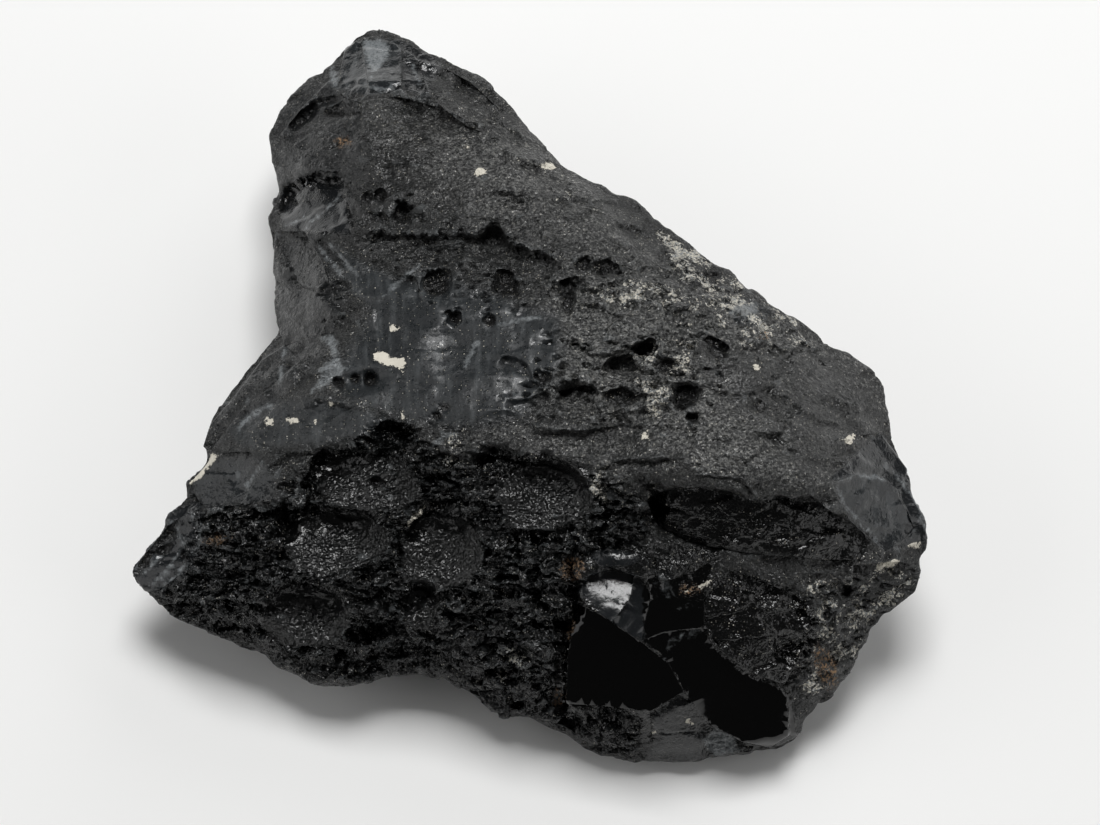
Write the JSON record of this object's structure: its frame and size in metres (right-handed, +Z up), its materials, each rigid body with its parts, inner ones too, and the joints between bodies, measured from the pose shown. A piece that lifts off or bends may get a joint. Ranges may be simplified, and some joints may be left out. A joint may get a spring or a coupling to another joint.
{
  "type": "obsidian chunk",
  "caption": "Rough broken lump of black volcanic glass with bubble hollows, stepped breaks, a glassy scoop in one corner and a flat face to rest on.",
  "frame": {"origin": "on the ground plane, under the middle of the stone's bounding box", "axes": "+X to the right along the stone's widest way, tip to tip; +Y to the back, toward the narrow peak; +Z up"},
  "size_m": [0.1198, 0.1174, 0.0475],
  "materials": {
    "obsidian": "weathered dark grey glass, matte to semi-gloss, with fresh black glossy breaks and pale mineral crust"
  },
  "bodies": {
    "root": {"obsidian_chunk": "obsidian"}
  },
  "joints": []
}
